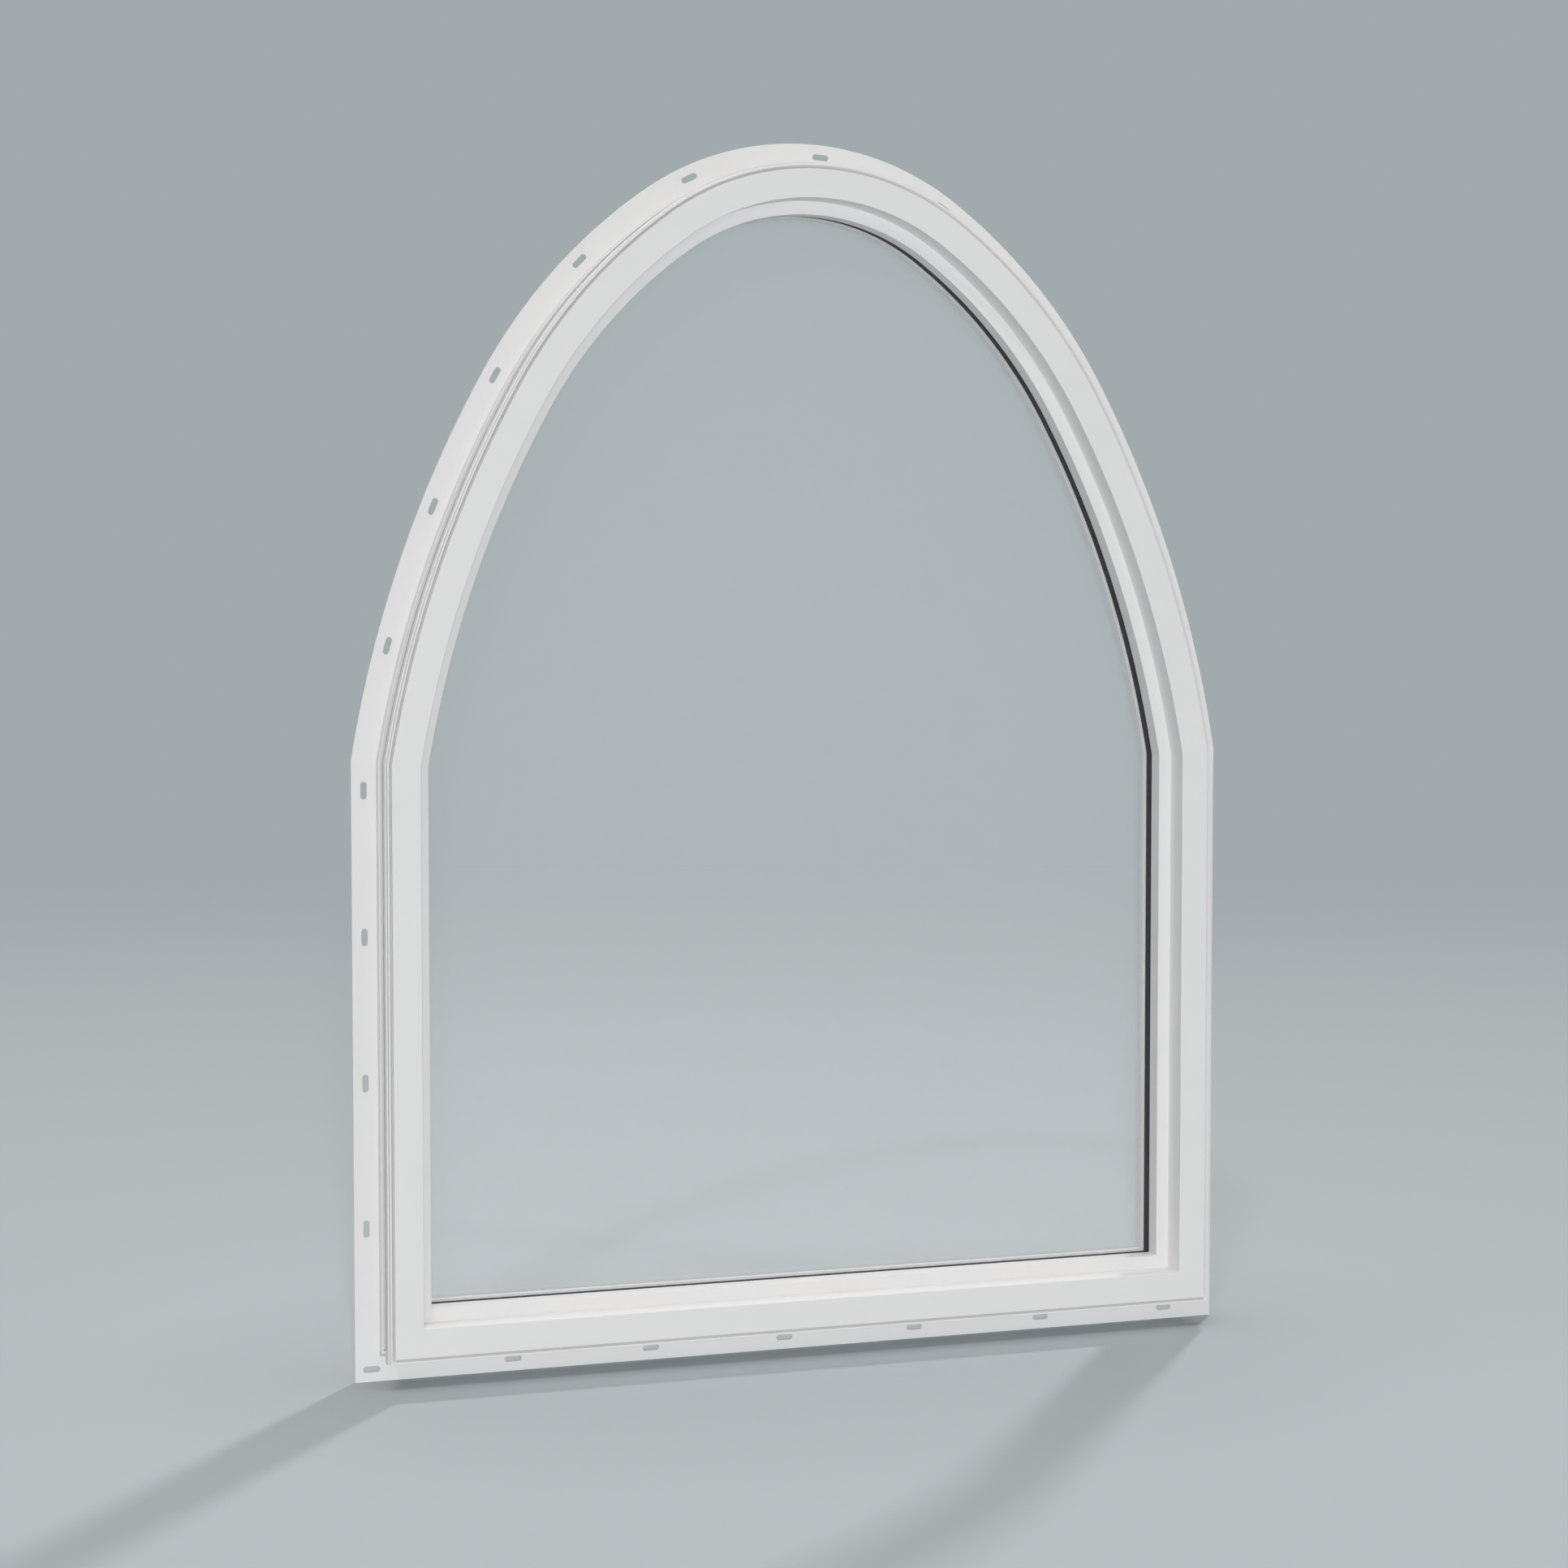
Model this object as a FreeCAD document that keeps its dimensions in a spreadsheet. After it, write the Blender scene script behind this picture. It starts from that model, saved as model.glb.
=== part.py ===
"""Arched top picture window: a fixed, double glazed vinyl unit with a nailing fin all round.

Frame: millimetres, X to the right seen from outside, Y into the wall, Z up.
The origin is on the back of the nailing fin, in the middle of its bottom edge,
where the unit meets the wall. Outside is at negative Y.

Every member follows the fin's outer edge: two legs, a sill and a five-centred
arch. A place in a section is given by how far it lies inward from that edge
(an "..._in" size) and by its depth in the wall (a "..._y" size).
"""
import FreeCAD
import Part
import Sketcher
import math
import os

doc = FreeCAD.newDocument("arched_top_window")
sheet = doc.addObject("Spreadsheet::Sheet", "sizes")

# Driving sizes in millimetres and degrees: name, value, what it measures
SIZES = (
    ("overall_width", "965.2", "fin edge to fin edge"),
    ("leg_height", "632.5", "fin bottom to the spring of the arch"),
    ("arch_rise", "637.5", "spring to crown, at the fin edge"),
    ("spring_lean", "9.4", "how far the arch leans inward where it leaves the leg"),
    ("crown_radius", "301", "radius of the crown at the fin edge"),
    ("crown_angle", "35.3", "bearing from the crown where the haunch begins"),
    ("haunch_angle", "60.6", "bearing from the crown where the lower arc begins"),
    ("fin_projection", "31.75", "fin edge to the side wall of the frame"),
    ("fin_plate", "25.4", "width of the flat of the fin"),
    ("fin_thickness", "2", "thickness of the flat of the fin"),
    ("foot_height", "11", "how far the lip of the fin's foot stands in front of its flat"),
    ("foot_lip", "1.4", "thickness of that lip"),
    ("foot_floor", "2", "how far the floor behind that lip stands in front of the flat"),
    ("foot_end", "2", "thickness of the wall that closes the lower end of a leg's foot"),
    ("corner_notch", "5.4", "flat of the bottom fin to the lower end of a leg's foot"),
    ("corner_gap", "0.25", "clearance between two fins' tongues at a bottom corner"),
    ("tongue_front", "3.6", "front of the fin's tongue, from the back of the fin"),
    ("tongue_thickness", "2.4", "thickness of the tongue that locks the fin into the frame"),
    ("tongue_length", "4", "how far the tongue reaches into the frame"),
    ("slot_count", "26", "nailing slots round the whole fin"),
    ("slot_length", "18", "length of a nailing slot"),
    ("slot_width", "6.4", "width of a nailing slot"),
    ("slot_line", "12.7", "fin edge to the middle of the slots"),
    ("slot_start", "4.3", "first slot, from the corner of the slots' line"),
    ("frame_depth", "82.6", "front of the frame to its room side"),
    ("setback", "47.6", "front of the frame to the front of the fin"),
    ("rib_proud", "6.6", "how far the accessory rib stands out from the side wall"),
    ("rib_back", "15.4", "front of the frame to the back of the rib"),
    ("rib_front", "6", "front of the frame to the front of the rib"),
    ("lip_proud", "5.4", "how far the front lip stands out"),
    ("lip_thickness", "1.8", "flat crest of the front lip"),
    ("groove_width", "3", "width of the groove between the lip and the front face"),
    ("groove_depth", "5.9", "depth of that groove, whose lip side slopes"),
    ("face_width", "29.25", "side wall to the inner edge of the front face"),
    ("first_reveal", "28.3", "depth of the first reveal"),
    ("ledge_width", "13.8", "width of the ledge between the reveals"),
    ("second_reveal", "18.1", "depth of the second reveal, ledge to glass"),
    ("reveal_draft", "0.5", "how far each reveal closes in along its depth"),
    ("rebate", "17.8", "sight edge to the floor of the glazing pocket"),
    ("edge_clearance", "3", "pocket floor to the edge of the glass"),
    ("lip_gap", "0.2", "glass to the lip of the stop, and to the bead"),
    ("lip_width", "2", "width of the stop's lip beside the glazing tape"),
    ("tape_width", "9", "width of the glazing tape"),
    ("tape_thickness", "1.6", "thickness of the glazing tape"),
    ("unit_thickness", "22.2", "thickness of the insulating glass"),
    ("pane_thickness", "3", "thickness of each pane"),
    ("spacer_edge", "0.5", "glass edge to the outer side of the spacer and seal"),
    ("spacer_width", "11.4", "width of the spacer and edge seal"),
    ("bead_nose", "2.2", "thickness of the bead at its sight edge"),
    ("bead_flat", "6", "flat of the bead on the room side"),
    ("bead_groove", "5", "glass side of the bead to its snap leg"),
    ("bead_leg", "2.6", "thickness of the snap leg"),
    ("bead_leg_length", "4", "how far the snap leg reaches into the frame"),
    ("fit_gap", "0.2", "clearance of a snap fit"),
    ("block_length", "100", "length of a setting block under the glass"),
    ("block_place", "220", "middle of the window to the middle of a setting block"),
    ("trim_past", "12", "how far a mitre cut runs past the section"),
)

# Sizes worked out from those above
DERIVED = (
    ("half_width", "overall_width / 2"),
    ("crown_z", "leg_height + arch_rise"),
    ("spring_angle", "90 - spring_lean"),
    # The five arcs meet in line, which fixes the two other radii: the runs across add up
    # to half the width, the falls to the rise.
    ("across_left", "half_width - crown_radius * sin(crown_angle)"),
    ("fall_left", "arch_rise - crown_radius * (1 - cos(crown_angle))"),
    ("haunch_across", "sin(haunch_angle) - sin(crown_angle)"),
    ("haunch_fall", "cos(crown_angle) - cos(haunch_angle)"),
    ("lower_across", "sin(spring_angle) - sin(haunch_angle)"),
    ("lower_fall", "cos(haunch_angle) - cos(spring_angle)"),
    ("arc_share", "haunch_across * lower_fall - lower_across * haunch_fall"),
    ("haunch_radius", "(across_left * lower_fall - lower_across * fall_left) / arc_share"),
    ("lower_radius", "(haunch_across * fall_left - across_left * haunch_fall) / arc_share"),
    ("crown_cx", "0"),
    ("crown_cz", "crown_z - crown_radius"),
    ("haunch_cx", "crown_cx - (haunch_radius - crown_radius) * sin(crown_angle)"),
    ("haunch_cz", "crown_cz - (haunch_radius - crown_radius) * cos(crown_angle)"),
    ("lower_cx", "haunch_cx - (lower_radius - haunch_radius) * sin(haunch_angle)"),
    ("lower_cz", "haunch_cz - (lower_radius - haunch_radius) * cos(haunch_angle)"),
    # Places across the section, inward from the fin edge
    ("edge_in", "0"),
    ("plate_in", "fin_plate"),
    ("foot_lip_in", "plate_in + foot_lip"),
    ("wall_in", "fin_projection"),
    ("seat_in", "wall_in - fit_gap"),
    ("tongue_in", "wall_in + tongue_length - fit_gap"),
    ("kerf_in", "wall_in + tongue_length"),
    ("tongue_stop", "kerf_in + corner_gap"),
    ("foot_start", "plate_in + corner_notch"),
    ("rib_in", "wall_in - rib_proud"),
    ("lip_in", "wall_in - lip_proud"),
    ("crest_in", "lip_in + lip_thickness"),
    ("face_in", "crest_in + groove_width"),
    ("stop_in", "wall_in + face_width"),
    ("reveal_in", "stop_in + reveal_draft"),
    ("ledge_in", "reveal_in + ledge_width"),
    ("sight_in", "ledge_in + reveal_draft"),
    ("lip_back_in", "sight_in - lip_width"),
    ("tape_end_in", "lip_back_in - fit_gap"),
    ("tape_start_in", "tape_end_in - tape_width"),
    ("pocket_in", "sight_in - rebate"),
    ("glass_in", "pocket_in + edge_clearance"),
    ("spacer_start_in", "glass_in + spacer_edge"),
    ("spacer_end_in", "spacer_start_in + spacer_width"),
    ("bead_in", "pocket_in + fit_gap"),
    ("bead_leg_in", "pocket_in - bead_leg_length + fit_gap"),
    ("snap_in", "pocket_in - bead_leg_length"),
    ("bead_flat_in", "bead_in + bead_flat"),
    # Places through the wall
    ("back_of_fin_y", "0"),
    ("fin_y", "-fin_thickness"),
    ("foot_y", "fin_y - foot_height"),
    ("foot_floor_y", "fin_y - foot_floor"),
    ("tongue_front_y", "-tongue_front"),
    ("tongue_back_y", "tongue_front_y + tongue_thickness"),
    ("kerf_front_y", "tongue_front_y - fit_gap"),
    ("kerf_back_y", "tongue_back_y + fit_gap"),
    ("front_y", "fin_y - setback"),
    ("rib_back_y", "front_y + rib_back"),
    ("rib_front_y", "front_y + rib_front"),
    ("groove_y", "front_y + groove_depth"),
    ("ledge_y", "front_y + first_reveal"),
    ("glass_y", "ledge_y + second_reveal"),
    ("lip_y", "glass_y - lip_gap"),
    ("tape_y", "glass_y - tape_thickness"),
    ("spacer_front_y", "glass_y + pane_thickness"),
    ("glass_back_y", "glass_y + unit_thickness"),
    ("spacer_back_y", "glass_back_y - pane_thickness"),
    ("bead_y", "glass_back_y + lip_gap"),
    ("nose_y", "bead_y + bead_nose"),
    ("bead_leg_y", "bead_y + bead_groove"),
    ("bead_leg_back_y", "bead_leg_y + bead_leg"),
    ("snap_front_y", "bead_leg_y - fit_gap"),
    ("snap_back_y", "bead_leg_back_y + fit_gap"),
    ("back_y", "front_y + frame_depth"),
    # Mitre cuts: they start outside the fin edge and end inside the sight edge
    ("cut_in", "sight_in + trim_past"),
    ("mitre_slope", "tan(spring_lean / 2)"),
    ("mitre_out_z", "leg_height + trim_past * mitre_slope"),
    ("mitre_end_z", "leg_height - cut_in * mitre_slope"),
    ("above_spring_z", "leg_height + 2 * trim_past"),
    ("below_spring_z", "leg_height - 2 * cut_in"),
    # The line of the slots, and how far it runs along each stretch of the fin
    ("slot_x", "half_width - slot_line"),
    ("slot_lower_radius", "lower_radius - slot_line"),
    ("slot_spring_z", "lower_cz + sqrt(slot_lower_radius ^ 2 - (slot_x - lower_cx) ^ 2)"),
    ("slot_spring_angle", "atan((slot_x - lower_cx) / (slot_spring_z - lower_cz)) / 1 deg"),
    ("sill_run", "2 * slot_x"),
    ("leg_run", "slot_spring_z - slot_line"),
    ("lower_run", "slot_lower_radius * (slot_spring_angle - haunch_angle) * pi / 180"),
    ("haunch_run", "(haunch_radius - slot_line) * (haunch_angle - crown_angle) * pi / 180"),
    ("crown_run", "(crown_radius - slot_line) * 2 * crown_angle * pi / 180"),
    ("slot_pitch", "(sill_run + 2 * (leg_run + lower_run + haunch_run) + crown_run) / slot_count"),
)

# Sections: corners as (place across, place through the wall), in order round the outline
FRAME_SECTION = (
    ("wall_in", "back_y"),
    ("wall_in", "kerf_back_y"),
    ("kerf_in", "kerf_back_y"),
    ("kerf_in", "kerf_front_y"),
    ("wall_in", "kerf_front_y"),
    ("wall_in", "rib_back_y"),
    ("rib_in", "rib_back_y"),
    ("rib_in", "rib_front_y"),
    ("lip_in", "rib_front_y"),
    ("lip_in", "front_y"),
    ("crest_in", "front_y"),
    ("face_in", "groove_y"),
    ("face_in", "front_y"),
    ("stop_in", "front_y"),
    ("reveal_in", "ledge_y"),
    ("ledge_in", "ledge_y"),
    ("sight_in", "lip_y"),
    ("lip_back_in", "lip_y"),
    ("lip_back_in", "tape_y"),
    ("pocket_in", "tape_y"),
    ("pocket_in", "snap_front_y"),
    ("snap_in", "snap_front_y"),
    ("snap_in", "snap_back_y"),
    ("pocket_in", "snap_back_y"),
    ("pocket_in", "back_y"),
)
FIN_PLATE_SECTION = (
    ("edge_in", "back_of_fin_y"),
    ("edge_in", "fin_y"),
    ("plate_in", "fin_y"),
    ("plate_in", "back_of_fin_y"),
)
FOOT_SECTION = (
    ("plate_in", "back_of_fin_y"),
    ("plate_in", "foot_y"),
    ("foot_lip_in", "foot_y"),
    ("foot_lip_in", "foot_floor_y"),
    ("seat_in", "foot_floor_y"),
    ("seat_in", "back_of_fin_y"),
)
FOOT_END_SECTION = (
    ("plate_in", "back_of_fin_y"),
    ("plate_in", "foot_y"),
    ("seat_in", "foot_y"),
    ("seat_in", "back_of_fin_y"),
)
TONGUE_SECTION = (
    ("seat_in", "tongue_front_y"),
    ("tongue_in", "tongue_front_y"),
    ("tongue_in", "tongue_back_y"),
    ("seat_in", "tongue_back_y"),
)
FIN_SECTION = FIN_PLATE_SECTION[:3] + FOOT_SECTION[1:5] + TONGUE_SECTION + FOOT_SECTION[5:]
BEAD_SECTION = (
    ("bead_in", "bead_y"),
    ("sight_in", "bead_y"),
    ("sight_in", "nose_y"),
    ("bead_flat_in", "back_y"),
    ("bead_in", "back_y"),
    ("bead_in", "bead_leg_back_y"),
    ("bead_leg_in", "bead_leg_back_y"),
    ("bead_leg_in", "bead_leg_y"),
    ("bead_in", "bead_leg_y"),
)
TAPE_SECTION = (
    ("tape_start_in", "tape_y"),
    ("tape_end_in", "tape_y"),
    ("tape_end_in", "glass_y"),
    ("tape_start_in", "glass_y"),
)
SPACER_SECTION = (
    ("spacer_start_in", "spacer_front_y"),
    ("spacer_end_in", "spacer_front_y"),
    ("spacer_end_in", "spacer_back_y"),
    ("spacer_start_in", "spacer_back_y"),
)
SIDES = (("left", "-1"), ("right", "1"))


def fill_sheet():
    """Write the driving sizes and then the worked-out ones, each under its own name."""
    rows = [(alias, value, note) for alias, value, note in SIZES]
    rows += [(alias, "=" + formula, "worked out") for alias, formula in DERIVED]
    for row, (alias, value, note) in enumerate(rows, start=1):
        sheet.set(f"A{row}", note)
        sheet.set(f"B{row}", value)
        sheet.setAlias(f"B{row}", alias)
    doc.recompute()


def size(alias):
    return float(sheet.get(alias))


def cell(alias):
    return "sizes." + alias


def new_body(name):
    body = doc.addObject("PartDesign::Body", name)
    body.Label = name
    return body


def new_sketch(body, role, offset=(), turn=None):
    """A sketch on one of the body's own planes.

    offset holds (axis, expression) shifts in the sketch's own axes, and turn an
    (axis, expression) rotation in degrees about one of them.
    """
    sketch = body.newObject("Sketcher::SketchObject", body.Name + "_sketch")
    plane = next(f for f in body.Origin.OriginFeatures if f.Role == role)
    sketch.AttachmentSupport = (plane, [""])
    sketch.MapMode = "FlatFace"
    if turn:
        sketch.AttachmentOffset = FreeCAD.Placement(
            FreeCAD.Vector(), FreeCAD.Rotation(FreeCAD.Vector(*turn[0]), 1)
        )
        sketch.setExpression("AttachmentOffset.Rotation.Angle", turn[1])
    for axis, expression in offset:
        sketch.setExpression("AttachmentOffset.Base." + axis, expression)
    return sketch


def constrain(sketch, rows):
    """Add dimension constraints given as (kind, geometry references, expression)."""
    values = [float(sketch.evalExpression(expression)) for _, _, expression in rows]
    added = sketch.addConstraint(
        [Sketcher.Constraint(kind, *refs, value) for (kind, refs, _), value in zip(rows, values)]
    )
    for index, (_, _, expression) in zip(added, rows):
        sketch.setExpression(f"Constraints[{index}]", expression)


def draw_polygon(sketch, corners):
    """A closed outline of straight lines through corners given as pairs of expressions."""
    points = [FreeCAD.Vector(*[float(sketch.evalExpression(e)) for e in corner], 0) for corner in corners]
    following = points[1:] + points[:1]
    lines = sketch.addGeometry([Part.LineSegment(a, b) for a, b in zip(points, following)], False)
    next_lines = lines[1:] + lines[:1]
    sketch.addConstraint([Sketcher.Constraint("Coincident", a, 2, b, 1) for a, b in zip(lines, next_lines)])
    rows = []
    for line, (across, up) in zip(lines, corners):
        rows.append(("DistanceX", (-1, 1, line, 1), across))
        rows.append(("DistanceY", (-1, 1, line, 1), up))
    constrain(sketch, rows)


def draw_arc(sketch, centre, radius, start, end):
    """An arc that runs anticlockwise, its ends given as (axis, expression, bearing).

    bearing is about where the end lies, in degrees anticlockwise from the X axis, and the
    expression gives the exact place of the end on one axis.
    """
    middle = FreeCAD.Vector(*[float(sketch.evalExpression(e)) for e in centre], 0)
    circle = Part.Circle(middle, FreeCAD.Vector(0, 0, 1), float(sketch.evalExpression(radius)))
    first, last = math.radians(start[2]), math.radians(end[2])
    arc = sketch.addGeometry(Part.ArcOfCircle(circle, first, last), False)
    constrain(
        sketch,
        (
            ("DistanceX", (-1, 1, arc, 3), centre[0]),
            ("DistanceY", (-1, 1, arc, 3), centre[1]),
            ("Radius", (arc,), radius),
            ("Distance" + start[0], (-1, 1, arc, 1), start[1]),
            ("Distance" + end[0], (-1, 1, arc, 2), end[1]),
        ),
    )


def draw_line(sketch, start, end):
    points = [FreeCAD.Vector(*[float(sketch.evalExpression(e)) for e in p], 0) for p in (start, end)]
    line = sketch.addGeometry(Part.LineSegment(*points), False)
    rows = []
    for place, point in ((1, start), (2, end)):
        rows.append(("DistanceX", (-1, 1, line, place), point[0]))
        rows.append(("DistanceY", (-1, 1, line, place), point[1]))
    constrain(sketch, rows)


def pad(body, sketch, length, symmetric=False):
    feature = body.newObject("PartDesign::Pad", body.Name + "_pad")
    feature.Profile = sketch
    feature.setExpression("Length", length)
    feature.SideType = "Symmetric" if symmetric else "One side"
    return feature


def cut_through(body, sketch):
    feature = body.newObject("PartDesign::Pocket", body.Name + "_cut")
    feature.Profile = sketch
    feature.Type = "ThroughAll"
    feature.SideType = "Symmetric"
    return feature


def cut_polygon(body, corners):
    """Take away everything inside an outline drawn on the face of the window."""
    sketch = new_sketch(body, "XZ_Plane")
    draw_polygon(sketch, corners)
    cut_through(body, sketch)


def side_x(sign, alias):
    """Expression for a place on the left or right, by how far it lies inward."""
    return f"{sign} * (sizes.half_width - sizes.{alias})"


def cut_sill_mitre(body, sign, keep_sill):
    """The 45 degree mitre at a bottom corner, on a sill member or on a leg."""
    outside = f"{sign} * (sizes.half_width + sizes.trim_past)"
    inside = side_x(sign, "cut_in")
    low, high = "-sizes.trim_past", "sizes.cut_in"
    third = (outside, high) if keep_sill else (inside, low)
    cut_polygon(body, ((outside, low), (inside, high), third))


def cut_spring_mitre(body, sign, keep_leg):
    """The mitre between a leg and the arch, halfway between their two directions."""
    outside = f"{sign} * (sizes.half_width + sizes.trim_past)"
    inside = side_x(sign, "cut_in")
    beyond = cell("above_spring_z" if keep_leg else "below_spring_z")
    corners = (
        (outside, cell("mitre_out_z")),
        (inside, cell("mitre_end_z")),
        (inside, beyond),
        (outside, beyond),
    )
    cut_polygon(body, corners)


def draw_leg_section(body, section, sign, start="0"):
    sketch = new_sketch(body, "XY_Plane", offset=(("z", start),))
    draw_polygon(sketch, [(side_x(sign, across), cell(depth)) for across, depth in section])
    return sketch


def draw_sill_section(body, section):
    sketch = new_sketch(body, "YZ_Plane")
    draw_polygon(sketch, [(cell(depth), cell(across)) for across, depth in section])
    return sketch


def sill_member(name, section):
    """A straight member along the bottom, mitred at both ends."""
    body = new_body(name)
    pad(body, draw_sill_section(body, section), cell("overall_width"), symmetric=True)
    for _, sign in SIDES:
        cut_sill_mitre(body, sign, keep_sill=True)
    return body


def leg_member(name, section, sign):
    """A straight upright member, mitred to the sill and to the arch."""
    body = new_body(name)
    pad(body, draw_leg_section(body, section, sign), cell("leg_height"))
    cut_sill_mitre(body, sign, keep_sill=False)
    cut_spring_mitre(body, sign, keep_leg=True)
    return body


def arc_centre(arc, sign):
    return f"{sign} * sizes.{arc}_cx", cell(arc + "_cz")


def turn_section(body, section, arc, sign, bearing, sweep):
    """Turn the section about one of the arch's centres, from a bearing through a sweep."""
    across, up = arc_centre(arc, sign)
    turn = ((int(sign), 0, 0), bearing) if bearing else None
    sketch = new_sketch(body, "YZ_Plane", offset=(("y", up), ("z", across)), turn=turn)
    radius = cell(arc + "_radius")
    draw_polygon(sketch, [(cell(depth), f"{radius} - sizes.{place}") for place, depth in section])
    feature = body.newObject("PartDesign::Revolution", body.Name + "_turn")
    feature.Profile = sketch
    feature.ReferenceAxis = (sketch, ["H_Axis"])
    feature.setExpression("Angle", sweep)
    feature.Midplane = bearing is None
    feature.Reversed = bearing is not None and sign == "-1"


def arch_member(name, section):
    """A bent member: the section carried round the five arcs and mitred to both legs."""
    body = new_body(name)
    turn_section(body, section, "crown", "1", None, "2 * sizes.crown_angle")
    for _, sign in SIDES:
        haunch_sweep = "sizes.haunch_angle - sizes.crown_angle"
        turn_section(body, section, "haunch", sign, cell("crown_angle"), haunch_sweep)
        lower_sweep = "sizes.spring_angle - sizes.haunch_angle"
        turn_section(body, section, "lower", sign, cell("haunch_angle"), lower_sweep)
    for _, sign in SIDES:
        cut_spring_mitre(body, sign, keep_leg=False)
    return body


def member_set(names, section):
    """The four members of one kind: along the sill, up both legs and round the arch."""
    sill, left, right, arch = names
    sill_member(sill, section)
    for name, (_, sign) in zip((left, right), SIDES):
        leg_member(name, section, sign)
    arch_member(arch, section)


def draw_slot(sketch, along_x, middle):
    """A round-ended slot about a middle point, along the sketch's X or Y axis."""
    across, up = middle
    half = "(sizes.slot_length - sizes.slot_width) / 2"
    radius = "sizes.slot_width / 2"
    if along_x:
        ends = ((f"{across} - {half}", up), (f"{across} + {half}", up))
        draw_arc(sketch, ends[0], radius, ("X", ends[0][0], 90), ("X", ends[0][0], 270))
        draw_arc(sketch, ends[1], radius, ("X", ends[1][0], 270), ("X", ends[1][0], 450))
        for side in ("-", "+"):
            level = f"{up} {side} {radius}"
            draw_line(sketch, (ends[0][0], level), (ends[1][0], level))
    else:
        ends = ((across, f"{up} - {half}"), (across, f"{up} + {half}"))
        draw_arc(sketch, ends[0], radius, ("Y", ends[0][1], 180), ("Y", ends[0][1], 360))
        draw_arc(sketch, ends[1], radius, ("Y", ends[1][1], 0), ("Y", ends[1][1], 180))
        for side in ("-", "+"):
            place = f"{across} {side} {radius}"
            draw_line(sketch, (place, ends[0][1]), (place, ends[1][1]))


def slot_stretches(fins):
    """The stretches of the slots' line, anticlockwise from the bottom left corner.

    Each is (run along it, function that cuts a slot at a given reach along it).
    """

    def on_sill(reach):
        sketch = new_sketch(fins["sill"], "XZ_Plane")
        draw_slot(sketch, True, (f"{reach} - sizes.slot_x", cell("slot_line")))
        cut_through(fins["sill"], sketch)

    def on_leg(side, sign, height):
        sketch = new_sketch(fins[side], "XZ_Plane")
        draw_slot(sketch, False, (f"{sign} * sizes.slot_x", height))
        cut_through(fins[side], sketch)

    def on_arc(arc, sign, start, reach):
        radius = f"(sizes.{arc}_radius - sizes.slot_line)"
        bearing = f"{start} - {reach} / {radius} * 180 / pi"
        across, up = arc_centre(arc, sign)
        clockwise = float(sheet.evalExpression(bearing)) > 0
        turn = ((0, 0, -1), bearing) if clockwise else ((0, 0, 1), f"-({bearing})")
        sketch = new_sketch(fins["arch"], "XZ_Plane", offset=(("x", across), ("y", up)), turn=turn)
        draw_slot(sketch, True, ("0", radius))
        cut_through(fins["arch"], sketch)

    return (
        ("sill_run", on_sill),
        ("leg_run", lambda reach: on_leg("right", "1", f"{reach} + sizes.slot_line")),
        ("lower_run", lambda reach: on_arc("lower", "1", cell("slot_spring_angle"), reach)),
        ("haunch_run", lambda reach: on_arc("haunch", "1", cell("haunch_angle"), reach)),
        ("crown_run", lambda reach: on_arc("crown", "1", cell("crown_angle"), reach)),
        ("haunch_run", lambda reach: on_arc("haunch", "-1", "-sizes.crown_angle", reach)),
        ("lower_run", lambda reach: on_arc("lower", "-1", "-sizes.haunch_angle", reach)),
        ("leg_run", lambda reach: on_leg("left", "-1", f"sizes.slot_spring_z - {reach}")),
    )


def cut_slots(fins):
    """Divide the whole slots' line evenly, and cut a slot at each division."""
    stretches = slot_stretches(fins)
    for index in range(int(size("slot_count"))):
        place = size("slot_start") + index * size("slot_pitch")
        before = "0"
        for run, cut_slot in stretches:
            if place < size(run):
                cut_slot(f"(sizes.slot_start + {index} * sizes.slot_pitch - ({before}))")
                break
            place -= size(run)
            before += " + sizes." + run


def nailing_fins():
    """The fin: a flat that lies on the wall, and a foot with a tongue that snaps into the frame.

    The foot is an open trough beside the frame. The bottom flat runs the full width and the
    legs' flats stand on it. The legs' feet start a little above it, with a closed end, and
    the bottom foot and all tongues stop short of the corners, which leaves a notch there.
    """
    fins = {"sill": new_body("sill_fin")}
    sill = fins["sill"]
    pad(sill, draw_sill_section(sill, FIN_PLATE_SECTION), cell("overall_width"), symmetric=True)
    for section in (FOOT_SECTION, TONGUE_SECTION):
        foot_length = "sizes.overall_width - 2 * sizes.tongue_stop"
        pad(sill, draw_sill_section(sill, section), foot_length, symmetric=True)
    for side, sign in SIDES:
        leg = new_body(side + "_fin")
        fins[side] = leg
        stretches = ((FIN_PLATE_SECTION, "fin_plate"), (FOOT_SECTION, "foot_start"))
        stretches += ((TONGUE_SECTION, "tongue_stop"),)
        for section, start in stretches:
            sketch = draw_leg_section(leg, section, sign, cell(start))
            pad(leg, sketch, f"sizes.leg_height - sizes.{start}")
        pad(leg, draw_leg_section(leg, FOOT_END_SECTION, sign, cell("foot_start")), cell("foot_end"))
        cut_spring_mitre(leg, sign, keep_leg=True)
    fins["arch"] = arch_member("arch_fin", FIN_SECTION)
    cut_slots(fins)


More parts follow.
